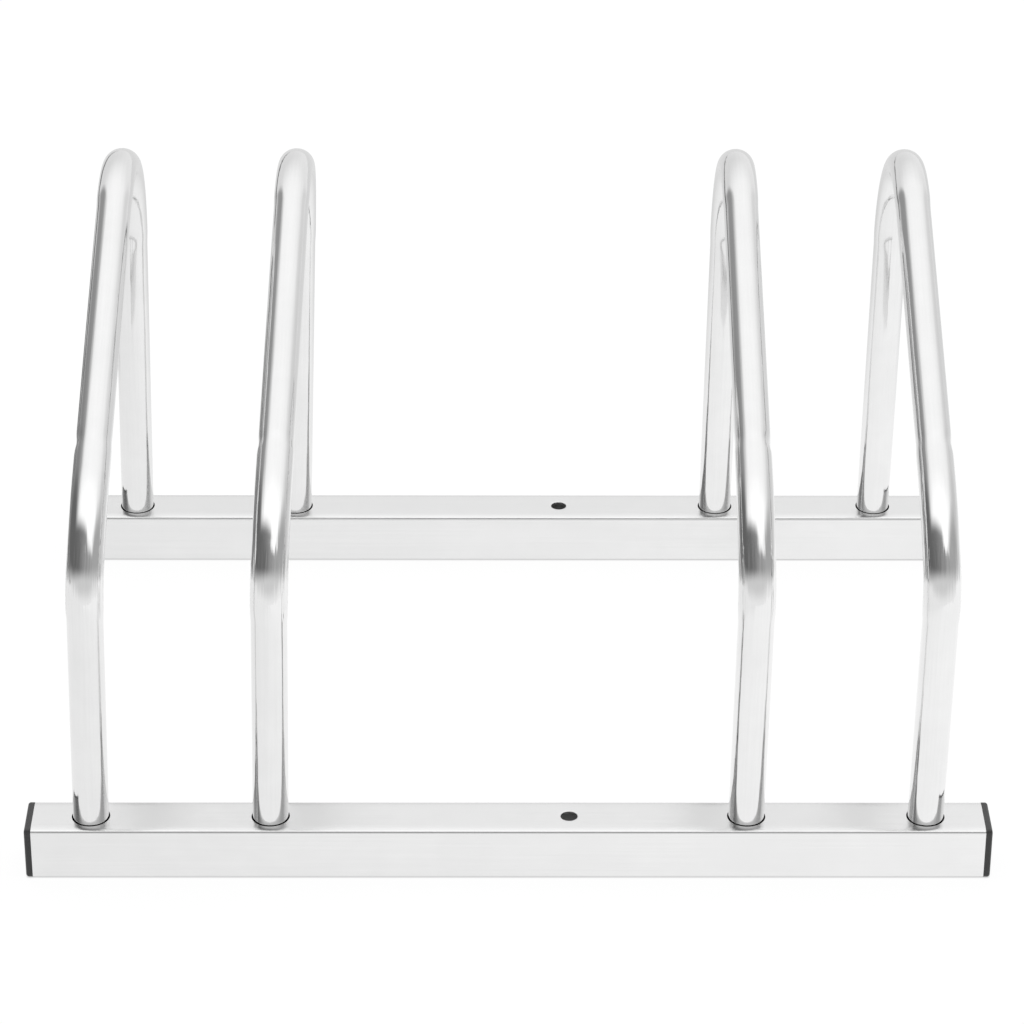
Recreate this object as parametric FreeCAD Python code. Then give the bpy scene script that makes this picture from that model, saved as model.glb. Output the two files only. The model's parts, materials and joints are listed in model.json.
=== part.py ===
import FreeCAD, Part
import math
import os

# Floor bike stand for two bikes: two square rails that carry four bent tube loops.
# The origin is the middle of the footprint on the floor. X runs along the rails, +Y points to
# the rear rail and +Z is up. Lengths are in millimetres and angles in degrees.

# Rails: square steel tube, one in front and one behind
rail_width = 25.0
rail_height = 25.0
rail_wall = 1.2
rail_inner_radius = 0.8
rail_spacing = 285.0

# Loops: round steel tube, bent in one plane
tube_diameter = 16.0
tube_wall = 1.0
wheel_gap = 64.0
slot_pitch = 292.0
overall_height = 243.0
top_slope = 21.0
front_bend_radius = 24.0
front_bend_turn = 50.0
bow_radius = 140.0
crown_bend_radius = 60.0
socket_clearance = 0.5

# Threaded plugs in the ends of the loops
plug_flange = 1.5
plug_length = 12.0
plug_lead_in = 0.8
plug_clearance = 0.05

# Countersunk screws that hold the loops from below
screw_diameter = 6.0
screw_head_diameter = 12.0
screw_length = 16.0
screw_tip_chamfer = 0.7
screw_recess = 0.1
hex_across_flats = 4.0
hex_depth = 2.2
thread_clearance = 0.05
countersink_clearance = 0.1
screw_hole_clearance = 0.3
dimple_lip = 0.7

# Holes through both rails for floor anchors
anchor_hole_diameter = 7.5
anchor_hole_offset = 27.0

# Plastic caps in the ends of the rails
cap_flange = 3.0
cap_edge_round = 1.3
cap_spigot_length = 14.0
cap_spigot_wall = 1.6
cap_rib_count = 3
cap_rib_thickness = 1.2
cap_rib_depth = 0.9
cap_clearance = 0.1
leg_to_cap_gap = 4.0

# Places and sizes that follow from the driving dimensions
tube_radius = tube_diameter / 2
bore_radius = tube_radius - tube_wall
rail_outer_radius = rail_inner_radius + rail_wall
loop_pitch = wheel_gap + tube_diameter
loop_places = {
    "outer_left": -(slot_pitch + loop_pitch) / 2,
    "inner_left": -(slot_pitch - loop_pitch) / 2,
    "inner_right": (slot_pitch - loop_pitch) / 2,
    "outer_right": (slot_pitch + loop_pitch) / 2,
}
rail_places = {"front": -rail_spacing / 2, "rear": rail_spacing / 2}
rail_half_length = loop_places["outer_right"] + tube_radius + leg_to_cap_gap + cap_spigot_length
crown_z = overall_height - tube_radius

# The 90-degree countersink is pressed into the floor of the rail, so the floor keeps its wall
# all round the screw head and ends in a flat ring that the plug sits on
screw_radius = screw_diameter / 2
head_radius = screw_head_diameter / 2
screw_hole_radius = screw_radius + screw_hole_clearance
mouth_radius = head_radius + screw_recess + countersink_clearance
countersink_depth = mouth_radius - screw_hole_radius
dimple_radius = mouth_radius + rail_wall * math.sqrt(2)
dimple_top = countersink_depth + dimple_lip
tube_end_z = dimple_top + plug_flange

X_AXIS = FreeCAD.Vector(1, 0, 0)
Z_AXIS = FreeCAD.Vector(0, 0, 1)
FULL_TURN = 360
ROUNDING = 1e-6
HEX_SIDES = 6


def point(x, y, z):
    """Return a point in the frame of the stand."""
    return FreeCAD.Vector(x, y, z)


def moved(shape, x, y):
    """Return a copy of a shape, shifted along the floor."""
    return shape.translated(point(x, y, 0))


def bar(start, length, inset, radius):
    """Return a bar along the rail's axis, inset from the rail's outside, with rounded long edges."""
    corner = point(start, inset - rail_width / 2, inset)
    block = Part.makeBox(length, rail_width - 2 * inset, rail_height - 2 * inset, corner)
    long_edges = [edge for edge in block.Edges if edge.tangentAt(0).cross(X_AXIS).Length < ROUNDING]
    return block.makeFillet(radius, long_edges)


def turned(outline):
    """Return the solid that a closed outline of (radius, z) points sweeps about Z."""
    points = [point(radius, 0, z) for radius, z in outline]
    face = Part.Face(Part.makePolygon(points + points[:1]))
    return face.revolve(point(0, 0, 0), Z_AXIS, FULL_TURN)


def rail():
    """Return a rail with its sockets, dimpled screw holes and anchor holes."""
    start = -rail_half_length
    length = 2 * rail_half_length
    tube = bar(start, length, 0, rail_outer_radius)
    tube = tube.cut(bar(start, length, rail_wall, rail_inner_radius))
    middle = rail_height / 2
    for x in loop_places.values():
        foot = point(x, 0, 0)
        socket = Part.makeCylinder(tube_radius + socket_clearance, middle, point(x, 0, middle))
        dimple = Part.makeCone(dimple_radius, dimple_radius - dimple_top, dimple_top, foot)
        countersink = Part.makeCone(mouth_radius, screw_hole_radius, countersink_depth, foot)
        screw_hole = Part.makeCylinder(screw_hole_radius, middle, foot)
        tube = tube.fuse(dimple).cut(socket).cut(countersink).cut(screw_hole)
    anchor_foot = point(anchor_hole_offset, 0, 0)
    return tube.cut(Part.makeCylinder(anchor_hole_diameter / 2, rail_height, anchor_foot))


def on_arc(centre, radius, turn):
    """Return the point of a loop's bend where the tube has turned so far, in radians, from upright."""
    return centre + point(0, -radius * math.cos(turn), radius * math.sin(turn))


def loop():
    """Return a loop in the YZ plane: front leg, bend, slight bow, top run, crown bend and rear leg."""
    front_y = rail_places["front"]
    rear_y = rail_places["rear"]
    slope = math.radians(top_slope)
    run_turn = math.pi / 2 - slope
    rear_turn = math.pi

    crown = point(0, rear_y - crown_bend_radius, crown_z - crown_bend_radius)
    run_end = on_arc(crown, crown_bend_radius, run_turn)
    crown_middle = on_arc(crown, crown_bend_radius, (run_turn + rear_turn) / 2)
    crown_end = on_arc(crown, crown_bend_radius, rear_turn)

    # The bend goes over into a slight bow, which ends on the line of the top run
    bow_turn = math.radians(front_bend_turn)
    reach = front_bend_radius * (1 - math.cos(bow_turn))
    reach += bow_radius * (math.cos(bow_turn) - math.cos(run_turn))
    rise = front_bend_radius * math.sin(bow_turn)
    rise += bow_radius * (math.sin(run_turn) - math.sin(bow_turn))
    run_reach = run_end.y - front_y - reach
    bow_end = point(0, front_y + reach, run_end.z - run_reach * math.tan(slope))

    bend_start = point(0, front_y, bow_end.z - rise)
    bend = bend_start + point(0, front_bend_radius, 0)
    bend_middle = on_arc(bend, front_bend_radius, bow_turn / 2)
    bend_end = on_arc(bend, front_bend_radius, bow_turn)
    bow = on_arc(bend_end, -bow_radius, bow_turn)
    bow_middle = on_arc(bow, bow_radius, (bow_turn + run_turn) / 2)

    front_foot = point(0, front_y, tube_end_z)
    rear_foot = point(0, rear_y, tube_end_z)
    path = Part.Wire([
        Part.LineSegment(front_foot, bend_start).toShape(),
        Part.Arc(bend_start, bend_middle, bend_end).toShape(),
        Part.Arc(bend_end, bow_middle, bow_end).toShape(),
        Part.LineSegment(bow_end, run_end).toShape(),
        Part.Arc(run_end, crown_middle, crown_end).toShape(),
        Part.LineSegment(crown_end, rear_foot).toShape(),
    ])
    outside = Part.Wire(Part.makeCircle(tube_radius, front_foot, Z_AXIS))
    bore = Part.Wire(Part.makeCircle(bore_radius, front_foot, Z_AXIS))
    return path.makePipe(Part.Face(outside)).cut(path.makePipe(Part.Face(bore)))


def plug():
    """Return a threaded plug at x = y = 0, its flange on the dimple and its body in the tube."""
    hole = screw_radius + thread_clearance
    body = bore_radius - plug_clearance
    top = tube_end_z + plug_length
    return turned([
        (hole, dimple_top),
        (tube_radius, dimple_top),
        (tube_radius, tube_end_z),
        (body, tube_end_z),
        (body, top - plug_lead_in),
        (body - plug_lead_in, top),
        (hole, top),
    ])


def screw():
    """Return a countersunk hexagon-socket screw at x = y = 0, its head just inside the rail floor."""
    head_top = screw_recess + head_radius - screw_radius
    tip = screw_recess + screw_length
    blank = turned([
        (0, screw_recess),
        (head_radius, screw_recess),
        (screw_radius, head_top),
        (screw_radius, tip - screw_tip_chamfer),
        (screw_radius - screw_tip_chamfer, tip),
        (0, tip),
    ])
    hex_radius = hex_across_flats / math.sqrt(3)
    corners = []
    for step in range(HEX_SIDES):
        angle = 2 * math.pi * step / HEX_SIDES
        corners.append(point(hex_radius * math.cos(angle), hex_radius * math.sin(angle), screw_recess))
    socket = Part.Face(Part.makePolygon(corners + corners[:1])).extrude(Z_AXIS * hex_depth)
    return blank.cut(socket)


def end_cap():
    """Return the cap of the +X end of a rail: a flush flange on a hollow ribbed spigot."""
    flange = bar(rail_half_length, cap_flange, 0, rail_outer_radius)
    outer_face = max(flange.Faces, key=lambda face: face.CenterOfMass.x)
    flange = flange.makeFillet(cap_edge_round, outer_face.Edges)

    spigot_start = rail_half_length - cap_spigot_length
    rib_inset = rail_wall + cap_clearance
    core_inset = rib_inset + cap_rib_depth
    hollow_inset = core_inset + cap_spigot_wall
    cap = flange.fuse(bar(spigot_start, cap_spigot_length, core_inset, rail_inner_radius))
    rib_pitch = (cap_spigot_length - cap_rib_thickness) / cap_rib_count
    for index in range(cap_rib_count):
        rib_start = spigot_start + index * rib_pitch
        cap = cap.fuse(bar(rib_start, cap_rib_thickness, rib_inset, rail_inner_radius))
    return cap.cut(bar(spigot_start, cap_spigot_length, hollow_inset, rail_inner_radius))


def write(node, shape):
    """Write a piece to its own file."""
    shape.exportStep("parts/" + node + ".step")


os.makedirs("parts", exist_ok=True)

loop_shape = loop()
plug_shape = plug()
for side, x in loop_places.items():
    write(side + "_loop", moved(loop_shape, x, 0))
    for end, y in rail_places.items():
        write(side + "_" + end + "_plug", moved(plug_shape, x, y))

rail_shape = rail()
screw_shape = screw()
right_cap = end_cap()
left_cap = right_cap.mirror(point(0, 0, 0), X_AXIS)
for end, y in rail_places.items():
    write(end + "_rail", moved(rail_shape, 0, y))
    screws = [moved(screw_shape, x, y) for x in loop_places.values()]
    write(end + "_rail_screws", Part.makeCompound(screws))
    write(end + "_left_end_cap", moved(left_cap, 0, y))
    write(end + "_right_end_cap", moved(right_cap, 0, y))
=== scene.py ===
"""A floor bike stand in bright zinc: two square rails, four bent tube loops and black end caps.

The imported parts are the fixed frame, in metres. The rails and the loops are made again here as finer
skins on the same lines, because polished metal shows every facet. The caps, plugs and screws keep
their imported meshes. Every surface then gets a finish that is made of nodes.
"""

import json
import logging
import math
from dataclasses import dataclass
from enum import Enum
from typing import Callable, ClassVar, Union

import bmesh
import bpy
from mathutils import Matrix, Vector


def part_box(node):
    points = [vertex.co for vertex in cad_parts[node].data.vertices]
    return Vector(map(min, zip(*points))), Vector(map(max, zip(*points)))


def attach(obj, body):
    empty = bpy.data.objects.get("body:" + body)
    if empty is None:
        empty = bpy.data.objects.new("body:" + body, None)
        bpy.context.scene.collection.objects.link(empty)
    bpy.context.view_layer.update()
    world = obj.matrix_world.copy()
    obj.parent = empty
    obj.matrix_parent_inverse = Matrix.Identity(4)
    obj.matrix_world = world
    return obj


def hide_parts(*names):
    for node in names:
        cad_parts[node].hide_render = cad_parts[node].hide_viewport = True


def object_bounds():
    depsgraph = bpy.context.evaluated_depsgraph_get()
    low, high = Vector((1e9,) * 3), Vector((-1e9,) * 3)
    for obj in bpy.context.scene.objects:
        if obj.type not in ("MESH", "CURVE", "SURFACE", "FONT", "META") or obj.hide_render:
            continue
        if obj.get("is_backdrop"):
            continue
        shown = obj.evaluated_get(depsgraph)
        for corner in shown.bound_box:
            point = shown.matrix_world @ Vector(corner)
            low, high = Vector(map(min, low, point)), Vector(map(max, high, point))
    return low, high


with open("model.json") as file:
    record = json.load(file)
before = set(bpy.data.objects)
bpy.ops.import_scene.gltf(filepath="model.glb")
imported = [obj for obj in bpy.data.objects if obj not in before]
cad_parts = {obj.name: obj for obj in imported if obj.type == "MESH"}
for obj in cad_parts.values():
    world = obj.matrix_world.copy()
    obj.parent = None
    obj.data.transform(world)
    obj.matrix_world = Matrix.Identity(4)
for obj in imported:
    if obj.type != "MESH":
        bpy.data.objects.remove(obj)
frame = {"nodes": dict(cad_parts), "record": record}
PACKED_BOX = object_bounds()

BODY = "root"
MM = 0.001
UPRIGHT = math.pi / 2
RIGHT = (1.0, 0.0, 0.0)
BEHIND = (0.0, 1.0, 0.0)
UP = (0.0, 0.0, 1.0)

# Sheet metal: points this near are one, and cut edges are rounded where they are sharper than the angle
MERGE_DISTANCE = 0.0005 * MM
CUT_EDGE_SEGMENTS = 3
CUT_EDGE_ANGLE = math.radians(35)

log = logging.getLogger("bike_stand")

Colour = tuple[float, float, float, float]
Feed = Union[bpy.types.NodeSocket, float, tuple[float, ...]]


def grey(level: float) -> Colour:
    """Return a neutral colour of this linear level."""
    return (level, level, level, 1.0)


def smooth_step(value: float) -> float:
    """Return a soft ramp from 0 to 1 over values from 0 to 1."""
    held = min(max(value, 0.0), 1.0)
    return held * held * (3.0 - 2.0 * held)


class Slot(Enum):
    """The material slots of the part."""

    RAIL = "rail_zinc"
    LOOP = "loop_zinc"
    CAP = "cap_plastic"
    FASTENER = "fastener_steel"


class Run(Enum):
    """The way that the length of a piece runs, which its draw lines follow."""

    RAIL = "along x"
    TUBE = "along the bent tube"
    POST = "along z"


class End(Enum):
    """The two rails, by where they lie."""

    FRONT = "front"
    REAR = "rear"


class LoopName(Enum):
    """The four loops, from left to right."""

    OUTER_LEFT = "outer_left"
    INNER_LEFT = "inner_left"
    INNER_RIGHT = "inner_right"
    OUTER_RIGHT = "outer_right"

    @property
    def node(self) -> str:
        """Return the name of the loop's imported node."""
        return self.value + "_loop"


class Graph:
    """A node tree that is filled node by node."""

    def __init__(self, tree: bpy.types.NodeTree) -> None:
        """Empty the tree and keep it."""
        self.tree = tree
        tree.nodes.clear()

    def add(self, kind: str, feeds: dict | None = None, **settings: object) -> bpy.types.Node:
        """Add a node.

        Args:
            kind: Blender's name for the type of node.
            feeds: what goes into each input, by the socket's name or number.
            settings: the node's own properties.

        Returns:
            The new node.
        """
        node = self.tree.nodes.new(kind)
        for name, setting in settings.items():
            setattr(node, name, setting)
        for key, feed in (feeds or {}).items():
            self.feed(node.inputs[key], feed)
        return node

    def feed(self, socket: bpy.types.NodeSocket, feed: Feed) -> None:
        """Link a socket to another one, or set its value.

        Args:
            socket: the input.
            feed: an output to link, or a plain value.
        """
        if isinstance(feed, bpy.types.NodeSocket):
            self.tree.links.new(feed, socket)
        else:
            socket.default_value = feed

    def math(self, operation: str, *feeds: Feed) -> bpy.types.NodeSocket:
        """Return the result of a math operation on one or more feeds."""
        return self.add("ShaderNodeMath", dict(enumerate(feeds)), operation=operation).outputs[0]

    def vector(self, operation: str, *feeds: Feed) -> bpy.types.NodeSocket:
        """Return the vector that an operation makes of one or more feeds."""
        node = self.add("ShaderNodeVectorMath", dict(enumerate(feeds)), operation=operation)
        return node.outputs["Vector"]

    def along(self, feed: Feed, way: tuple[float, float, float]) -> bpy.types.NodeSocket:
        """Return how far a direction points one way."""
        node = self.add("ShaderNodeVectorMath", {0: feed, 1: way}, operation="DOT_PRODUCT")
        return node.outputs["Value"]

    def ramp(
        self,
        feed: Feed,
        start: float,
        end: float,
        low: float = 0.0,
        high: float = 1.0,
    ) -> bpy.types.NodeSocket:
        """Map a value through a soft ramp.

        Args:
            feed: the value.
            start: where the ramp starts.
            end: where the ramp ends, above or below its start.
            low: the result at the start.
            high: the result at the end.

        Returns:
            The mapped value.
        """
        feeds = {"Value": feed, "From Min": start, "From Max": end, "To Min": low, "To Max": high}
        return self.add("ShaderNodeMapRange", feeds, interpolation_type="SMOOTHSTEP").outputs["Result"]

    def noise(
        self,
        place: Feed,
        scale: float,
        detail: float,
        twist: float = 0.0,
    ) -> bpy.types.NodeSocket:
        """Return smooth noise from 0 to 1 over a place."""
        feeds = {"Vector": place, "Scale": scale, "Detail": detail, "Distortion": twist}
        return self.add("ShaderNodeTexNoise", feeds).outputs["Fac"]

    def blend(self, share: Feed, first: Feed, second: Feed) -> bpy.types.NodeSocket:
        """Return a value between two others."""
        return self.add("ShaderNodeMix", {0: share, 2: first, 3: second}, data_type="FLOAT").outputs[0]

    def tint(self, share: Feed, first: Feed, second: Feed) -> bpy.types.NodeSocket:
        """Return a colour between two others."""
        return self.add("ShaderNodeMix", {0: share, 6: first, 7: second}, data_type="RGBA").outputs[2]

    def bump(self, height: Feed, depth: float, normal: Feed | None = None) -> bpy.types.NodeSocket:
        """Make the normal of a surface with relief.

        Args:
            height: the relief, from 0 to 1.
            depth: how far the surface rises where the height is 1, in metres.
            normal: the normal that the relief goes onto, if not the mesh's own.

        Returns:
            The normal.
        """
        feeds = {"Height": height, "Distance": depth, "Strength": 1.0}
        if normal is not None:
            feeds["Normal"] = normal
        return self.add("ShaderNodeBump", feeds).outputs["Normal"]

    def place(self, run: Run) -> bpy.types.NodeSocket:
        """Return a place on the piece in metres, with its third part along the piece.

        Args:
            run: the way that the piece's length runs.

        Returns:
            The place, as a vector.
        """
        if run is Run.TUBE:
            return self.add("ShaderNodeAttribute", attribute_name=Loops.PLACE).outputs["Vector"]
        place = self.add("ShaderNodeTexCoord").outputs["Object"]
        if run is Run.POST:
            return place
        parts = self.add("ShaderNodeSeparateXYZ", {"Vector": place}).outputs
        turned = {"X": parts["Y"], "Y": parts["Z"], "Z": parts["X"]}
        return self.add("ShaderNodeCombineXYZ", turned).outputs["Vector"]

    def in_cells(self, place: Feed, across: Feed, along: Feed) -> bpy.types.NodeSocket:
        """Return a place counted in cells, which have one size across the piece and one along it."""
        cell = self.add("ShaderNodeCombineXYZ", {"X": across, "Y": across, "Z": along})
        return self.vector("DIVIDE", place, cell.outputs["Vector"])


class Effect:
    """A shader node group with named sockets, built once and placed in each finish that uses it."""

    NAME: ClassVar[str]
    TAKES: ClassVar[dict[str, str]]
    GIVES: ClassVar[dict[str, str]]
    VALUE: ClassVar[str] = "NodeSocketFloat"
    VECTOR: ClassVar[str] = "NodeSocketVector"

    @classmethod
    def tree(cls) -> bpy.types.NodeTree:
        """Find the group's tree, which the first call builds.

        Returns:
            The tree, with its sockets and nodes.
        """
        made = bpy.data.node_groups.get(cls.NAME)
        if made is not None:
            return made
        tree = bpy.data.node_groups.new(cls.NAME, "ShaderNodeTree")
        for name, kind in cls.TAKES.items():
            tree.interface.new_socket(name, in_out="INPUT", socket_type=kind)
        for name, kind in cls.GIVES.items():
            tree.interface.new_socket(name, in_out="OUTPUT", socket_type=kind)
        graph = Graph(tree)
        entry = graph.add("NodeGroupInput")
        graph.add("NodeGroupOutput", cls.fill(graph, entry.outputs))
        return tree

    @classmethod
    def fill(cls, graph: Graph, entry: bpy.types.NodeOutputs) -> dict[str, bpy.types.NodeSocket]:
        """Build the effect inside its group.

        Args:
            graph: the group's tree.
            entry: the group's inputs.

        Returns:
            What goes into each output of the group, by name.
        """
        raise NotImplementedError

    @classmethod
    def put(cls, graph: Graph, feeds: dict[str, Feed]) -> bpy.types.NodeOutputs:
        """Place the effect in a finish.

        Args:
            graph: the finish's tree.
            feeds: what goes into the effect, by the socket's name.

        Returns:
            The effect's outputs.
        """
        node = graph.add("ShaderNodeGroup", node_tree=cls.tree())
        for name, feed in feeds.items():
            graph.feed(node.inputs[name], feed)
        return node.outputs


class DrawLines(Effect):
    """Fine lines that run along a piece, left by the die that drew it."""

    NAME = "draw_lines"
    TAKES = {"Place": Effect.VECTOR, "Pitch": Effect.VALUE, "Length": Effect.VALUE}
    GIVES = {"Lines": Effect.VALUE}
    DETAIL: ClassVar[float] = 3.0
    EDGES: ClassVar[tuple[float, float]] = (0.28, 0.72)

    @classmethod
    def fill(cls, graph: Graph, entry: bpy.types.NodeOutputs) -> dict[str, bpy.types.NodeSocket]:
        """Stretch noise along the piece, as Effect.fill says."""
        stretched = graph.in_cells(entry["Place"], entry["Pitch"], entry["Length"])
        return {"Lines": graph.ramp(graph.noise(stretched, 1.0, cls.DETAIL), *cls.EDGES)}


class PlatingCloud(Effect):
    """Soft patches where the plating is a little duller."""

    NAME = "plating_cloud"
    TAKES = {"Place": Effect.VECTOR, "Size": Effect.VALUE}
    GIVES = {"Cloud": Effect.VALUE}
    BROAD_DETAIL: ClassVar[float] = 3.0
    BROAD_TWIST: ClassVar[float] = 0.6
    SMALL_SCALE: ClassVar[float] = 4.5
    SMALL_DETAIL: ClassVar[float] = 4.0
    SMALL_SHARE: ClassVar[float] = 0.35
    EDGES: ClassVar[tuple[float, float]] = (0.3, 0.7)

    @classmethod
    def fill(cls, graph: Graph, entry: bpy.types.NodeOutputs) -> dict[str, bpy.types.NodeSocket]:
        """Mix broad and small patches, as Effect.fill says."""
        scaled = graph.in_cells(entry["Place"], entry["Size"], entry["Size"])
        broad = graph.noise(scaled, 1.0, cls.BROAD_DETAIL, cls.BROAD_TWIST)
        small = graph.noise(scaled, cls.SMALL_SCALE, cls.SMALL_DETAIL)
        return {"Cloud": graph.ramp(graph.blend(cls.SMALL_SHARE, broad, small), *cls.EDGES)}


class FineGrain(Effect):
    """The fine grain of a moulded or coated surface."""

    NAME = "fine_grain"
    TAKES = {"Place": Effect.VECTOR, "Size": Effect.VALUE}
    GIVES = {"Grain": Effect.VALUE}
    ROUGH_SCALE: ClassVar[float] = 0.7
    ROUGH_DETAIL: ClassVar[float] = 4.0
    ROUGH_SHARE: ClassVar[float] = 0.5

    @classmethod
    def fill(cls, graph: Graph, entry: bpy.types.NodeOutputs) -> dict[str, bpy.types.NodeSocket]:
        """Round small cells into grains, as Effect.fill says."""
        scaled = graph.in_cells(entry["Place"], entry["Size"], entry["Size"])
        cells = graph.add("ShaderNodeTexVoronoi", {"Vector": scaled, "Scale": 1.0}, feature="SMOOTH_F1")
        rough = graph.noise(scaled, cls.ROUGH_SCALE, cls.ROUGH_DETAIL)
        return {"Grain": graph.blend(cls.ROUGH_SHARE, cells.outputs["Distance"], rough)}


@dataclass(frozen=True)
class ZincFinish:
    """Bright zinc plating on drawn steel: nearly a mirror, with faint clouds and draw lines.

    A bent tube also has low ridges along its tight bend, where ridge_depth isn't 0.
    """

    name: str
    run: Run
    bright: float
    dull: float
    smooth: float
    hazy: float
    cloud_size: float
    line_pitch: float
    line_length: float
    line_depth: float
    wave_size: float
    wave_depth: float
    ridge_pitch: float = 2.4 * MM
    ridge_length: float = 60 * MM
    ridge_depth: float = 0.0
    line_share: float = 0.4
    wave_detail: float = 1.0

    def normal(self, graph: Graph, place: Feed, lines: Feed) -> bpy.types.NodeSocket:
        """Make the surface's normal, with its waves, draw lines and the ridges of its tight bend.

        Args:
            graph: the finish's tree.
            place: a place on the piece.
            lines: the draw lines.

        Returns:
            The normal.
        """
        wave = graph.noise(place, 1.0 / self.wave_size, self.wave_detail)
        normal = graph.bump(lines, self.line_depth, graph.bump(wave, self.wave_depth))
        if not self.ridge_depth:
            return normal
        feeds = {"Place": place, "Pitch": self.ridge_pitch, "Length": self.ridge_length}
        share = graph.add("ShaderNodeAttribute", attribute_name=Loops.RIDGE).outputs["Fac"]
        ridges = graph.math("MULTIPLY", DrawLines.put(graph, feeds)["Lines"], share)
        return graph.bump(ridges, self.ridge_depth, normal)

    def material(self) -> bpy.types.Material:
        """Make the finish.

        Returns:
            A new material.
        """
        material = bpy.data.materials.new(self.name)
        material.use_nodes = True
        graph = Graph(material.node_tree)
        place = graph.place(self.run)
        cloud = PlatingCloud.put(graph, {"Place": place, "Size": self.cloud_size})["Cloud"]
        lines_feed = {"Place": place, "Pitch": self.line_pitch, "Length": self.line_length}
        lines = DrawLines.put(graph, lines_feed)["Lines"]
        shade = graph.blend(self.line_share, cloud, lines)
        shader = graph.add("ShaderNodeBsdfPrincipled", {
            "Base Color": graph.tint(shade, grey(self.bright), grey(self.dull)),
            "Metallic": 1.0,
            "Roughness": graph.blend(shade, self.smooth, self.hazy),
            "Normal": self.normal(graph, place, lines),
        })
        graph.add("ShaderNodeOutputMaterial", {"Surface": shader.outputs["BSDF"]})
        return material


@dataclass(frozen=True)
class PlasticFinish:
    """Black moulded plastic with a fine grain."""

    name: str
    dark: float
    worn: float
    smooth: float
    matt: float
    grain_size: float
    grain_depth: float
    cloud_size: float

    def material(self) -> bpy.types.Material:
        """Make the finish.

        Returns:
            A new material.
        """
        material = bpy.data.materials.new(self.name)
        material.use_nodes = True
        graph = Graph(material.node_tree)
        place = graph.place(Run.POST)
        grain = FineGrain.put(graph, {"Place": place, "Size": self.grain_size})["Grain"]
        cloud = PlatingCloud.put(graph, {"Place": place, "Size": self.cloud_size})["Cloud"]
        shader = graph.add("ShaderNodeBsdfPrincipled", {
            "Base Color": graph.tint(cloud, grey(self.dark), grey(self.worn)),
            "Roughness": graph.blend(cloud, self.smooth, self.matt),
            "Normal": graph.bump(grain, self.grain_depth),
        })
        graph.add("ShaderNodeOutputMaterial", {"Surface": shader.outputs["BSDF"]})
        return material


@dataclass(frozen=True)
class FloorFinish:
    """A white floor that keeps a faint shadow and can be seen through from below.

    Its glow in mirrored views is painted reflection: a little brighter on the right, with painted shade
    behind, a painted dark spot on the left and painted dark farther out on that side, but not in front.
    Near the rails ambient occlusion darkens the glow, a painted contact shadow.
    """

    name: str
    white: float
    glow: float
    left_glow: float
    right_glow: float
    side_edges: tuple[float, float]
    back_glow: float
    back_edges: tuple[float, float]
    painted_dark_glow: float
    spot_place: tuple[float, float, float]
    spot_edges: tuple[float, float]
    painted_left_dark_edges: tuple[float, float]
    left_front_edges: tuple[float, float]
    shade: float
    shade_reach: float
    grain_size: float
    grain_shade: float = 0.98
    shade_samples: int = 8

    def material(self) -> bpy.types.Material:
        """Make the finish.

        Returns:
            A new material.
        """
        material = bpy.data.materials.new(self.name)
        material.use_nodes = True
        graph = Graph(material.node_tree)
        place = graph.place(Run.POST)
        grain = FineGrain.put(graph, {"Place": place, "Size": self.grain_size})["Grain"]
        matt = graph.add("ShaderNodeBsdfDiffuse", {
            "Color": graph.tint(grain, grey(self.white), grey(self.white * self.grain_shade)),
        })
        path = graph.add("ShaderNodeLightPath").outputs
        # Painted reflection: for mirrored rays the glow is set by place, brighter on the right, painted
        # shade behind, and painted dark in a spot on the left and farther out on that side
        right = graph.along(place, RIGHT)
        behind = graph.along(place, BEHIND)
        reach = graph.add("ShaderNodeVectorMath", {0: place, 1: self.spot_place}, operation="DISTANCE")
        in_spot = graph.ramp(reach.outputs["Value"], *self.spot_edges)
        past_front = graph.ramp(behind, *self.left_front_edges)
        painted_left_dark = graph.math("MULTIPLY", graph.ramp(right, *self.painted_left_dark_edges), past_front)
        painted_dark = graph.math("MAXIMUM", in_spot, painted_left_dark)
        level = graph.ramp(right, *self.side_edges, self.left_glow, self.right_glow)
        level = graph.blend(graph.ramp(behind, *self.back_edges), level, self.back_glow)
        level = graph.blend(painted_dark, level, self.painted_dark_glow)
        mirrored = graph.math("MAXIMUM", path["Is Glossy Ray"], path["Is Transmission Ray"])
        level = graph.math("MULTIPLY", mirrored, level)
        level = graph.blend(path["Is Camera Ray"], level, self.glow)
        # Painted contact shadow: ambient occlusion darkens the floor's glow near the rails
        near = {"Distance": self.shade_reach}
        open_sky = graph.add("ShaderNodeAmbientOcclusion", near, samples=self.shade_samples)
        shade = graph.blend(open_sky.outputs["AO"], 1.0 - self.shade, 1.0)
        glow = graph.add("ShaderNodeEmission", {"Strength": graph.math("MULTIPLY", level, shade)})
        lit = graph.add("ShaderNodeAddShader", {0: matt.outputs["BSDF"], 1: glow.outputs["Emission"]})
        below = graph.add("ShaderNodeNewGeometry").outputs["Backfacing"]
        clear = graph.add("ShaderNodeBsdfTransparent")
        sided = graph.add("ShaderNodeMixShader", {
            0: below,
            1: lit.outputs["Shader"],
            2: clear.outputs["BSDF"],
        })
        graph.add("ShaderNodeOutputMaterial", {"Surface": sided.outputs["Shader"]})
        return material


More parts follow.
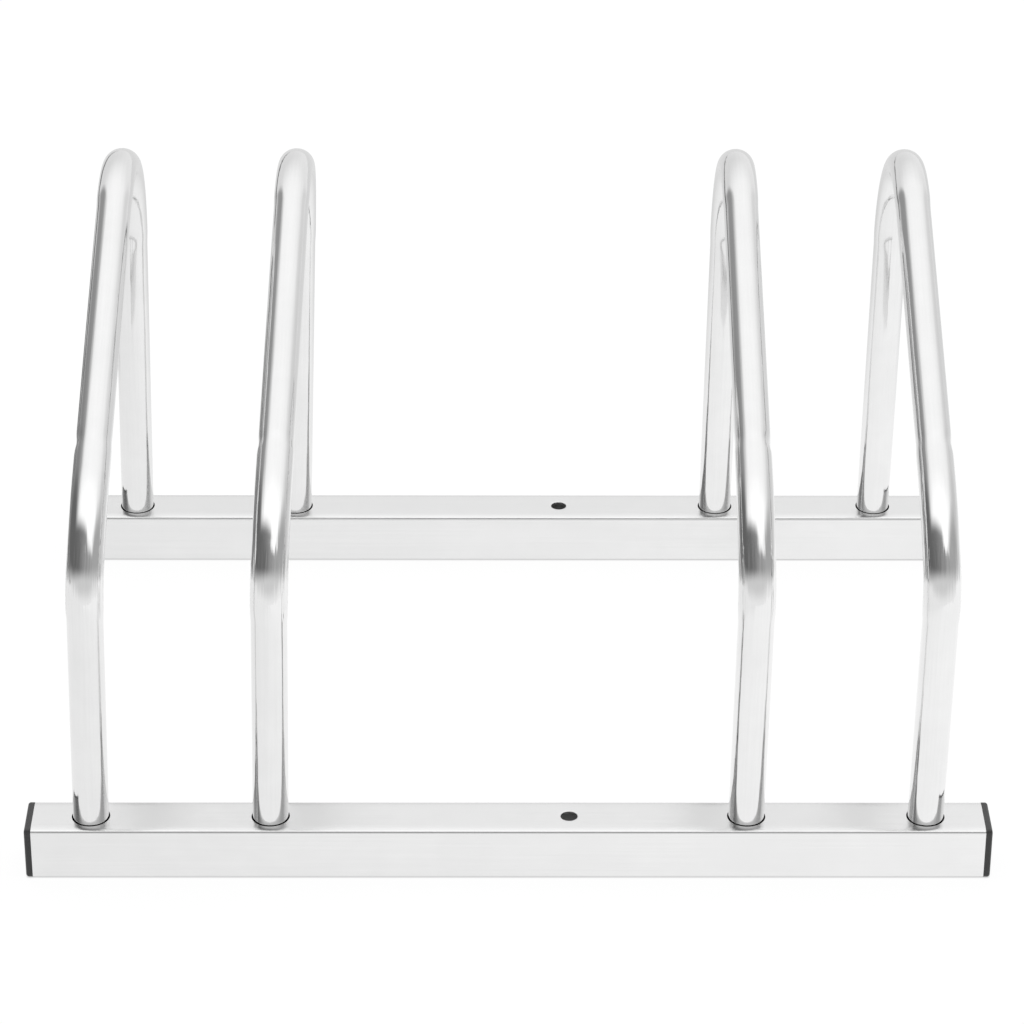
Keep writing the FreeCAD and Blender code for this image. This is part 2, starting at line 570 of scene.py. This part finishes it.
RAIL_ZINC = ZincFinish(
    name="rail_bright_zinc", run=Run.RAIL, bright=0.84, dull=0.81, smooth=0.18, hazy=0.25,
    cloud_size=40 * MM, line_pitch=0.9 * MM, line_length=90 * MM, line_depth=0.0008 * MM,
    wave_size=35 * MM, wave_depth=0.01 * MM)
RAIL_INSIDE = ZincFinish(
    name="rail_inside_dull_steel", run=Run.RAIL, bright=0.74, dull=0.64, smooth=0.45, hazy=0.60,
    cloud_size=20 * MM, line_pitch=0.9 * MM, line_length=60 * MM, line_depth=0.004 * MM,
    wave_size=12 * MM, wave_depth=0.01 * MM)
LOOP_ZINC = ZincFinish(
    name="loop_bright_zinc", run=Run.TUBE, bright=0.83, dull=0.79, smooth=0.07, hazy=0.12,
    cloud_size=30 * MM, line_pitch=1.1 * MM, line_length=45 * MM, line_depth=0.014 * MM,
    wave_size=20 * MM, wave_depth=0.01 * MM, ridge_depth=0.20 * MM)
FASTENER_ZINC = ZincFinish(
    name="fastener_plated_steel", run=Run.POST, bright=0.70, dull=0.60, smooth=0.22, hazy=0.34,
    cloud_size=6 * MM, line_pitch=0.3 * MM, line_length=4 * MM, line_depth=0.002 * MM,
    wave_size=3 * MM, wave_depth=0.004 * MM)
CAP_PLASTIC = PlasticFinish(
    name="cap_black_plastic", dark=0.042, worn=0.056, smooth=0.36, matt=0.46,
    grain_size=0.35 * MM, grain_depth=0.02 * MM, cloud_size=9 * MM)
# The floor's mirrored glow by place is painted reflection: the side and back levels, the painted dark
# spot and the painted dark on the left
WHITE_FLOOR = FloorFinish(
    name="white_floor", white=0.10, glow=0.94,
    left_glow=0.89, right_glow=1.0, side_edges=(-0.45, 0.30),
    back_glow=0.70, back_edges=(0.15, 0.50),
    painted_dark_glow=0.14, spot_place=(-0.56, 0.45, 0.0), spot_edges=(0.30, 0.15),
    painted_left_dark_edges=(-0.74, -0.92), left_front_edges=(0.22, 0.36),
    # shade and shade_reach set the painted contact shadow in the floor's glow
    shade=0.45, shade_reach=0.9 * MM, grain_size=8 * MM)


def skin(
    name: str,
    sheet: bmesh.types.BMesh,
    wall: float,
    edge_round: float,
    finishes: list[bpy.types.Material],
) -> bpy.types.Object:
    """Make a piece of sheet metal from its outside.

    Args:
        name: the piece's name.
        sheet: the outside faces, which this empties.
        wall: the thickness of the metal, inside those faces.
        edge_round: how far the cut edges are rounded.
        finishes: the finish of the outside, and the one of the inside where that differs.

    Returns:
        The piece, in the scene.
    """
    bmesh.ops.remove_doubles(sheet, verts=sheet.verts, dist=MERGE_DISTANCE)
    bmesh.ops.recalc_face_normals(sheet, faces=sheet.faces)
    mesh = bpy.data.meshes.new(name)
    sheet.to_mesh(mesh)
    sheet.free()
    mesh.shade_smooth()
    piece = bpy.data.objects.new(name, mesh)
    bpy.context.scene.collection.objects.link(piece)
    for finish in finishes:
        mesh.materials.append(finish)

    thick = piece.modifiers.new("wall", "SOLIDIFY")
    thick.thickness = wall
    thick.offset = -1.0
    thick.use_even_offset = True
    thick.material_offset = len(finishes) - 1
    rounded = piece.modifiers.new("cut_edges", "BEVEL")
    rounded.width = edge_round
    rounded.segments = CUT_EDGE_SEGMENTS
    rounded.limit_method = "ANGLE"
    rounded.angle_limit = CUT_EDGE_ANGLE
    rounded.harden_normals = True
    return piece


@dataclass
class Rails:
    """The two square rails: skins with soft corners, punched sockets and pressed screw dimples."""

    wall: float = 1.2 * MM
    corner_width: float = 3.8 * MM
    corner_depth: float = 2.0 * MM
    corner_power: float = 2.6
    corner_steps: int = 14
    socket_clearance: float = 0.5 * MM
    dimple_mouth: float = 6.2 * MM
    dimple_hole: float = 3.45 * MM
    dimple_depth: float = 2.75 * MM
    lip_round: float = 0.3 * MM
    lip_steps: int = 5
    patch_half: float = 10.5 * MM
    side_steps: int = 16
    ring_steps: int = 5
    edge_round: float = 0.25 * MM

    def __post_init__(self) -> None:
        """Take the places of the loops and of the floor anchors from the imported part."""
        low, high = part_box(End.FRONT.value + "_rail")
        self.half_length = high.x
        self.half_width = (high.y - low.y) / 2
        self.height = high.z
        self.flat_half = self.half_width - self.corner_width
        loops = [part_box(loop.node) for loop in LoopName]
        self.loop_places = [(low.x + high.x) / 2 for low, high in loops]
        self.socket_radius = (loops[0][1].x - loops[0][0].x) / 2 + self.socket_clearance
        anchors = [mount for mount in frame["record"]["mounts"] if mount["kind"] == "bolt_pattern"]
        self.anchor_place = anchors[0]["pos_m"][0]
        self.anchor_radius = anchors[0]["dims"]["hole_r_mm"] * MM

    def drop(self, y: float) -> float:
        """Measure how far the top of a rail lies below its highest line.

        Args:
            y: the distance from the rail's middle line.

        Returns:
            The depth.
        """
        over = max(abs(y) - self.flat_half, 0.0) / self.corner_width
        power = self.corner_power
        return self.corner_depth * (1 - (1 - over ** power) ** (1 / power))

    def corner(self) -> list[tuple[float, float]]:
        """Lay out a corner from the edge of the patches to the side, in even turns of the normal.

        Returns:
            Points as the distance from the rail's middle line and the depth below its top.
        """
        width, depth, power = self.corner_width, self.corner_depth, self.corner_power
        over = (self.patch_half - self.flat_half) / width
        left = 1 - self.drop(self.patch_half) / depth
        first = math.atan(depth / width * (over / left) ** (power - 1))
        points = [(self.patch_half, self.drop(self.patch_half))]
        for step in range(1, self.corner_steps):
            turn = first + (UPRIGHT - first) * step / self.corner_steps
            ratio = (math.tan(turn) * width / depth) ** (1 / (power - 1))
            rest = (1 + ratio ** power) ** (-1 / power)
            points.append((self.flat_half + width * ratio * rest, depth * (1 - rest)))
        return points + [(self.half_width, depth)]

    def side_line(self) -> list[tuple[float, float]]:
        """Return the section of one side, from the patches on top to those below, as (y, z) points."""
        upper = [(y, self.height - depth) for y, depth in self.corner()]
        return upper + [(y, self.height - z) for y, z in reversed(upper)]

    def cross_steps(self) -> list[float]:
        """Return where the lines of a patch meet its side, from one corner to the other."""
        turns = [UPRIGHT * (step / self.side_steps - 0.5) for step in range(self.side_steps + 1)]
        return [self.patch_half * math.tan(turn) for turn in turns]

    def grid(self, sheet: bmesh.types.BMesh, rows: list[list[Vector]]) -> None:
        """Add the faces between rows of points.

        Args:
            sheet: the faces so far.
            rows: rows of the same number of points.
        """
        lines = [[sheet.verts.new(point) for point in row] for row in rows]
        for line, following in zip(lines, lines[1:]):
            for index in range(len(line) - 1):
                sheet.faces.new((line[index], line[index + 1], following[index + 1], following[index]))

    def patch(
        self,
        sheet: bmesh.types.BMesh,
        x: float,
        rings: list[tuple[float, float]],
        put: Callable[[float, float, float], Vector],
    ) -> None:
        """Add a square patch with a round hole.

        Args:
            sheet: the faces so far.
            x: the middle of the hole along the rail.
            rings: the hole's radius and depth, from its mouth inwards.
            put: gives a point from x, y and a depth below the surface.
        """
        count = 4 * self.side_steps
        turns = [UPRIGHT * (index / self.side_steps - 0.5) for index in range(count + 1)]
        rows = []
        for radius, depth in reversed(rings):
            circle = [(x + radius * math.cos(turn), radius * math.sin(turn)) for turn in turns]
            rows.append([put(*place, depth) for place in circle])
        mouth = rings[0][0]
        for step in range(1, self.ring_steps + 1):
            share = step / self.ring_steps
            row = []
            for turn in turns:
                across, up = math.cos(turn), math.sin(turn)
                edge = self.patch_half / max(abs(across), abs(up))
                radius = mouth + (edge - mouth) * share
                row.append(put(x + radius * across, radius * up, 0.0))
            rows.append(row)
        self.grid(sheet, rows)

    def lip(self, radius: float) -> list[tuple[float, float]]:
        """Lay out the rings of a hole with a rounded lip.

        Args:
            radius: the hole's radius below its lip.

        Returns:
            The radius and the depth of each ring, from the mouth inwards.
        """
        turns = [UPRIGHT * step / self.lip_steps for step in range(self.lip_steps + 1)]
        size = self.lip_round
        return [(radius + size * (1 - math.sin(turn)), size * (1 - math.cos(turn))) for turn in turns]

    def outside(self) -> bmesh.types.BMesh:
        """Make the outside of a rail, about its middle line.

        Returns:
            The faces.
        """
        sheet = bmesh.new()
        dimple = [(self.dimple_mouth, 0.0), (self.dimple_hole, self.dimple_depth)]
        socket = [(self.socket_radius, 0.0)]
        anchor = self.lip(self.anchor_radius)
        holes = [(x, socket, dimple) for x in self.loop_places]
        holes = sorted(holes + [(self.anchor_place, anchor, anchor)])
        steps = self.cross_steps()

        def on_top(x: float, y: float, depth: float) -> Vector:
            """Return a point below the top surface."""
            return Vector((x, y, self.height - self.drop(y) - depth))

        def underneath(x: float, y: float, depth: float) -> Vector:
            """Return a point above the bottom surface."""
            return Vector((x, y, self.drop(y) + depth))

        def plain(start: float, end: float) -> None:
            """Add the top and the bottom between two places along the rail."""
            for put in (on_top, underneath):
                self.grid(sheet, [[put(x, y, 0.0) for y in steps] for x in (start, end)])

        stations = [-self.half_length]
        for x, above, below in holes:
            plain(stations[-1], x + steps[0])
            self.patch(sheet, x, above, on_top)
            self.patch(sheet, x, below, underneath)
            stations += [x + step for step in steps]
        plain(stations[-1], self.half_length)
        stations.append(self.half_length)
        side = self.side_line()
        for hand in (-1, 1):
            self.grid(sheet, [[Vector((x, hand * y, z)) for y, z in side] for x in stations])
        return sheet

    def build(self, finish: bpy.types.Material, inside: bpy.types.Material) -> list[bpy.types.Object]:
        """Make both rails.

        Args:
            finish: the plating.
            inside: the bare metal inside.

        Returns:
            The rails, front one first.
        """
        rails = []
        for end in End:
            node = end.value + "_rail"
            low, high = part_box(node)
            sheet = self.outside()
            bmesh.ops.translate(sheet, verts=sheet.verts, vec=(0.0, (low.y + high.y) / 2, 0.0))
            rail = skin(node + "_tube", sheet, self.wall, self.edge_round, [finish, inside])
            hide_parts(node)
            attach(rail, BODY)
            rails.append(rail)
        return rails


@dataclass(frozen=True)
class Station:
    """A place along the middle line of a loop."""

    distance: float
    y: float
    z: float
    heading: float
    bend: float
    pinch: float
    ridge: float


@dataclass
class Loops:
    """The four loops: round tube, bent in one plane, a little flattened in its bends.

    The bender's clamp leaves a small pinch on the top run, just after the bow, with a dent on one side.
    Each loop leans a little to the right above the rails: its bend and its crown have their own shifts.
    Lists of sizes go from the left loop to the right one.
    """

    PLACE: ClassVar[str] = "tube_place"
    RIDGE: ClassVar[str] = "tube_ridge"

    wall: float = 1.0 * MM
    front_bend_radius: float = 24 * MM
    front_bend_turn: float = math.radians(50)
    bow_radius: float = 140 * MM
    crown_bend_radius: float = 60 * MM
    slope: float = math.radians(21)
    bend_shifts: tuple[float, ...] = (2.4 * MM, 2.1 * MM, 1.4 * MM, 1.5 * MM)
    crown_shifts: tuple[float, ...] = (3.5 * MM, 6.4 * MM, 2.5 * MM, 2.6 * MM)
    shift_fade: float = 25 * MM
    shift_steps: int = 4
    flattening: float = 0.03
    widening: float = 0.03
    bend_fade: float = 9 * MM
    ridge_reach: float = 6 * MM
    pinch: float = 0.02
    pinch_after_bow: float = 17 * MM
    pinch_length: float = 3.5 * MM
    dent_turns: tuple[float, ...] = (3.0, 3.0, 0.35, 0.3)
    dent_depths: tuple[float, ...] = (0.4 * MM, 0.25 * MM, 0.6 * MM, 0.35 * MM)
    dent_spread: float = 0.4
    step_straight: float = 2 * MM
    step_bend: float = 1.2 * MM
    around: int = 72
    edge_round: float = 0.2 * MM

    def __post_init__(self) -> None:
        """Take the tube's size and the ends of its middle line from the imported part."""
        low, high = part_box(LoopName.OUTER_LEFT.node)
        self.radius = (high.x - low.x) / 2
        self.front_y = low.y + self.radius
        self.rear_y = high.y - self.radius
        self.foot_z = low.z
        self.crown_z = high.z - self.radius
        self.rail_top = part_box(End.FRONT.value + "_rail")[1].z

    def legs(self) -> list[tuple[float, float, float]]:
        """Lay out the straight and bent stretches from the front foot to the rear foot.

        Returns:
            The length, the turn and the bend radius of each stretch, with no turn on a straight one.
        """
        bend, bow, crown = self.front_bend_radius, self.bow_radius, self.crown_bend_radius
        first_turn, run_turn = self.front_bend_turn, UPRIGHT - self.slope
        reach = bend * (1 - math.cos(first_turn)) + bow * (math.cos(first_turn) - math.cos(run_turn))
        rise = bend * math.sin(first_turn) + bow * (math.sin(run_turn) - math.sin(first_turn))
        run_end_y = self.rear_y - crown - crown * math.cos(run_turn)
        run_end_z = self.crown_z - crown + crown * math.sin(run_turn)
        run_reach = run_end_y - self.front_y - reach
        bow_end_z = run_end_z - run_reach * math.tan(self.slope)
        return [
            (bow_end_z - rise - self.foot_z, 0.0, 0.0),
            (bend * first_turn, first_turn, bend),
            (bow * (run_turn - first_turn), run_turn - first_turn, bow),
            (run_reach / math.cos(self.slope), 0.0, 0.0),
            (crown * (math.pi - run_turn), math.pi - run_turn, crown),
            (self.crown_z - crown - self.foot_z, 0.0, 0.0),
        ]

    def stations(self) -> list[Station]:
        """Lay out the places along the middle line where the tube gets a ring.

        Returns:
            The places, from the front foot to the rear foot.
        """
        legs = self.legs()
        ends = [sum(length for length, _, _ in legs[:index]) for index in range(len(legs) + 1)]
        clamp = ends[3] + self.pinch_after_bow
        bends = [(ends[1], clamp), (ends[4], ends[5])]

        def bend_share(distance: float) -> float:
            """Return how far the tube is in a bend, from 0 to 1."""
            inside = max(min(distance - start, end - distance) for start, end in bends)
            return smooth_step(0.5 + inside / self.bend_fade)

        def pinch_share(distance: float) -> float:
            """Return how far the tube is in the clamp's pinch, from 0 to 1."""
            return math.exp(-(((distance - clamp) / self.pinch_length) ** 2))

        def ridge_share(distance: float) -> float:
            """Return how far the tube is in its tight bend, where it has ridges, from 0 to 1."""
            inside = min(distance - ends[1], ends[2] + self.ridge_reach - distance)
            return smooth_step(0.5 + inside / self.bend_fade)

        found = []
        y, z, heading, walked = self.front_y, self.foot_z, UPRIGHT, 0.0
        for length, turn, radius in legs:
            count = math.ceil(length / (self.step_bend if turn else self.step_straight))
            for index in range(count):
                gone = length * index / count
                way = heading - turn * index / count
                if turn:
                    place_y = y + radius * (math.sin(heading) - math.sin(way))
                    place_z = z - radius * (math.cos(heading) - math.cos(way))
                else:
                    place_y = y + gone * math.cos(heading)
                    place_z = z + gone * math.sin(heading)
                at = walked + gone
                shares = (bend_share(at), pinch_share(at), ridge_share(at))
                found.append(Station(at, place_y, place_z, way, *shares))
            if turn:
                y += radius * (math.sin(heading) - math.sin(heading - turn))
                z -= radius * (math.cos(heading) - math.cos(heading - turn))
            else:
                y += length * math.cos(heading)
                z += length * math.sin(heading)
            heading -= turn
            walked += length
        return found + [Station(walked, y, z, heading, 0.0, 0.0, 0.0)]

    def shift(self, index: int, distance: float) -> float:
        """Measure how far a loop has moved to the right at a distance along it.

        Args:
            index: the loop's number, from the left.
            distance: how far along the middle line, from the front foot.

        Returns:
            The shift, which is 0 below the tops of the rails.
        """
        lengths = [length for length, _, _ in self.legs()]
        buried = self.rail_top - self.foot_z
        knots = [
            (buried, 0.0),
            (sum(lengths[:2]), self.bend_shifts[index]),
            (sum(lengths[:4]) + lengths[4] / 2, self.crown_shifts[index]),
            (sum(lengths) - buried, 0.0),
        ]

        def straight(at: float) -> float:
            """Return the shift before its corners are softened."""
            for (start, first), (end, last) in zip(knots, knots[1:]):
                if start <= at <= end:
                    return first + (last - first) * (at - start) / (end - start)
            return 0.0

        room = min(distance - knots[0][0], knots[-1][0] - distance)
        fade = min(max(room, 0.0), self.shift_fade)
        count = self.shift_steps
        steps = [fade * step / count for step in range(-count, count + 1)]
        return sum(straight(distance + step) for step in steps) / len(steps)

    def tube(self, name: str, x: float, index: int, finish: bpy.types.Material) -> bpy.types.Object:
        """Make one loop.

        Args:
            name: the piece's name.
            x: where the loop stands along the rails.
            index: the loop's number, from the left, which also sets its marks apart.
            finish: the plating.

        Returns:
            The loop, in the scene.
        """
        sheet = bmesh.new()
        places = sheet.verts.layers.float_vector.new(self.PLACE)
        ridges = sheet.verts.layers.float.new(self.RIDGE)
        turns = [2 * math.pi * step / self.around for step in range(self.around)]
        rings = []
        for station in self.stations():
            out_y, out_z = -math.sin(station.heading), math.cos(station.heading)
            thick = self.radius * (1 - self.flattening * station.bend)
            wide = self.radius * (1 + self.widening * station.bend - self.pinch * station.pinch)
            middle = x + self.shift(index, station.distance)
            along = station.distance + index
            dent = self.dent_depths[index] / self.radius * station.pinch
            ring = []
            for turn in turns:
                away = math.remainder(turn - self.dent_turns[index], 2 * math.pi) / self.dent_spread
                size = 1 - dent * math.exp(-away * away)
                side, out = size * wide * math.cos(turn), size * thick * math.sin(turn)
                spot = (middle + side, station.y + out * out_y, station.z + out * out_z)
                vert = sheet.verts.new(spot)
                vert[places] = (self.radius * math.cos(turn), self.radius * math.sin(turn), along)
                vert[ridges] = station.ridge
                ring.append(vert)
            rings.append(ring)
        for ring, following in zip(rings, rings[1:]):
            for step in range(self.around):
                other = (step + 1) % self.around
                sheet.faces.new((ring[step], ring[other], following[other], following[step]))
        return skin(name, sheet, self.wall, self.edge_round, [finish])

    def build(self, finish: bpy.types.Material) -> list[bpy.types.Object]:
        """Make the four loops.

        Args:
            finish: the plating.

        Returns:
            The loops, from left to right.
        """
        loops = []
        for index, loop in enumerate(LoopName):
            low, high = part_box(loop.node)
            piece = self.tube(loop.node + "_tube", (low.x + high.x) / 2, index, finish)
            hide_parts(loop.node)
            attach(piece, BODY)
            loops.append(piece)
        return loops


@dataclass
class PackedPieces:
    """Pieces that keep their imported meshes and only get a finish."""

    slot: Slot

    def build(self, finish: bpy.types.Material) -> list[bpy.types.Object]:
        """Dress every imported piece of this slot.

        Args:
            finish: the material.

        Returns:
            The dressed pieces, by name.
        """
        pieces = []
        for _, piece in sorted(frame["nodes"].items()):
            if piece.material_slots[0].name == self.slot.value:
                pieces.append(piece)
        for piece in pieces:
            for slot in piece.material_slots:
                slot.material = finish
        return pieces


@dataclass(frozen=True)
class StudioLight:
    """A white room: a pale screen in front, a dim band above it, and a soft light behind and overhead.

    The soft light has a dim gap low on its left. Its right half reaches further forward and then ends.
    Levels are brightnesses where 1 is white. Edges are the parts of a direction, from -1 to 1, between
    which one level fades into the next.
    """

    screen_low: float = 0.97
    screen_high: float = 0.72
    screen_height_edges: tuple[float, float] = (0.0, 0.45)
    screen_way: tuple[float, float, float] = (0.0, 0.622, 0.783)
    screen_edges: tuple[float, float] = (-0.06, 0.36)
    dim_left: float = 0.14
    dim_right: float = 0.44
    dim_edges: tuple[float, float] = (-1.0, 0.90)
    wall_left: float = 0.80
    wall_right: float = 0.92
    wall_edges: tuple[float, float] = (-0.30, 0.40)
    left_gap: float = 0.34
    far_left_gap: float = 0.15
    gap_way: tuple[float, float, float] = (-0.781, -0.625, 0.0)
    gap_edges: tuple[float, float] = (0.04, 0.14)
    far_gap_edges: tuple[float, float] = (-0.70, -0.84)
    gap_height_edges: tuple[float, float] = (0.80, 0.48)
    far_right: float = 0.66
    far_right_edges: tuple[float, float] = (0.60, 0.85)
    ceiling_back: float = 1.13
    ceiling_front: float = 1.28
    ceiling_edges: tuple[float, float] = (0.36, 0.06)
    overhead_edges: tuple[float, float] = (0.22, 0.96)
    soft_light_way: tuple[float, float, float] = (0.12, 0.88, 0.46)
    soft_light_edges: tuple[float, float] = (0.28, 0.39)
    right_reach: float = 0.06
    right_reach_edges: tuple[float, float] = (-0.02, 0.18)
    right_end_way: tuple[float, float, float] = (0.86, -0.51, 0.0)
    right_end_edges: tuple[float, float] = (0.65, 0.48)

    def build(self) -> bpy.types.World:
        """Make the world: plain white where the camera looks past the floor, and this room elsewhere.

        Returns:
            The scene's new world.
        """
        world = bpy.data.worlds.new("studio")
        world.use_nodes = True
        graph = Graph(world.node_tree)
        way = graph.add("ShaderNodeTexCoord").outputs["Generated"]
        right = graph.along(way, RIGHT)
        behind = graph.along(way, BEHIND)
        height = graph.along(way, UP)

        dim = graph.ramp(right, *self.dim_edges, self.dim_left, self.dim_right)
        over_screen = graph.ramp(graph.along(way, self.screen_way), *self.screen_edges)
        screen = graph.ramp(height, *self.screen_height_edges, self.screen_low, self.screen_high)
        front = graph.blend(over_screen, screen, dim)
        wall = graph.ramp(right, *self.wall_edges, self.wall_left, self.wall_right)
        wall = graph.blend(graph.ramp(right, *self.far_right_edges), wall, self.far_right)
        ceiling = graph.ramp(behind, *self.ceiling_edges, self.ceiling_back, self.ceiling_front)
        soft_light = graph.blend(graph.ramp(height, *self.overhead_edges), wall, ceiling)
        gap = graph.ramp(right, *self.far_gap_edges, self.left_gap, self.far_left_gap)
        low = graph.ramp(height, *self.gap_height_edges)
        in_gap = graph.ramp(graph.along(way, self.gap_way), *self.gap_edges)
        in_gap = graph.math("MULTIPLY", in_gap, low)
        soft_light = graph.blend(in_gap, soft_light, gap)
        reach = graph.ramp(right, *self.right_reach_edges, 0.0, self.right_reach)
        reach = graph.math("ADD", graph.along(way, self.soft_light_way), reach)
        before_end = graph.ramp(graph.along(way, self.right_end_way), *self.right_end_edges)
        facing = graph.math("MULTIPLY", graph.ramp(reach, *self.soft_light_edges), before_end)
        room = graph.blend(facing, front, soft_light)

        lit = graph.add("ShaderNodeBackground", {"Color": room, "Strength": 1.0})
        white = graph.add("ShaderNodeBackground", {"Color": grey(1.0), "Strength": 1.0})
        seen = graph.add("ShaderNodeLightPath").outputs["Is Camera Ray"]
        mixed = graph.add("ShaderNodeMixShader", {
            0: seen,
            1: lit.outputs["Background"],
            2: white.outputs["Background"],
        })
        graph.add("ShaderNodeOutputWorld", {"Surface": mixed.outputs["Shader"]})
        bpy.context.scene.world = world
        return world


@dataclass
class Studio:
    """The camera and the floor around the stand."""

    eye: tuple[float, float, float] = (-12.993 * MM, -1673.819 * MM, 1033.676 * MM)
    yaw: float = math.radians(0.5176)
    pitch: float = math.radians(29.133)
    roll: float = math.radians(0.2995)
    lens: float = 144.192
    sensor: float = 36.0
    floor_half: float = 6.0
    floor_gap: float = 0.05 * MM

    def camera(self) -> bpy.types.Object:
        """Make the camera, level but for its pitch and a little roll.

        Returns:
            The camera, set as the scene's own.
        """
        data = bpy.data.cameras.new("camera")
        data.lens = self.lens
        data.sensor_width = self.sensor
        camera = bpy.data.objects.new("camera", data)
        turn = Matrix.Rotation(-self.yaw, 4, "Z") @ Matrix.Rotation(UPRIGHT - self.pitch, 4, "X")
        camera.matrix_world = Matrix.Translation(self.eye) @ turn @ Matrix.Rotation(self.roll, 4, "Z")
        bpy.context.scene.collection.objects.link(camera)
        bpy.context.scene.camera = camera
        return camera

    def floor(self, finish: bpy.types.Material) -> bpy.types.Object:
        """Make the floor, just below the rails.

        Args:
            finish: the floor's material.

        Returns:
            The floor, marked as stage.
        """
        half = self.floor_half
        corners = [(-half, -half), (half, -half), (half, half), (-half, half)]
        mesh = bpy.data.meshes.new("floor")
        mesh.from_pydata([(x, y, -self.floor_gap) for x, y in corners], [], [(0, 1, 2, 3)])
        mesh.materials.append(finish)
        floor = bpy.data.objects.new("floor", mesh)
        bpy.context.scene.collection.objects.link(floor)
        floor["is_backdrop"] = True
        return floor


def write_sizes() -> None:
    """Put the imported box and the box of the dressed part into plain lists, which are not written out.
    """
    boxes = {"packed": PACKED_BOX, "dressed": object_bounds()}
    plain = {name: [list(corner) for corner in box] for name, box in boxes.items()}


def main() -> None:
    """Build the studio and the stand, and report each piece."""
    logging.basicConfig(level=logging.INFO, format="%(name)s: %(message)s")
    bpy.context.scene.view_settings.view_transform = "Standard"

    studio = Studio()
    studio.camera()
    studio.floor(WHITE_FLOOR.material())
    StudioLight().build()

    made = {
        "rail": Rails().build(RAIL_ZINC.material(), RAIL_INSIDE.material()),
        "loop": Loops().build(LOOP_ZINC.material()),
        "end cap": PackedPieces(Slot.CAP).build(CAP_PLASTIC.material()),
        "fastener": PackedPieces(Slot.FASTENER).build(FASTENER_ZINC.material()),
    }
    for kind, pieces in made.items():
        for piece in pieces:
            log.info("%s %s has %d faces", kind, piece.name, len(piece.data.polygons))
    write_sizes()


if __name__ == "__main__":
    main()
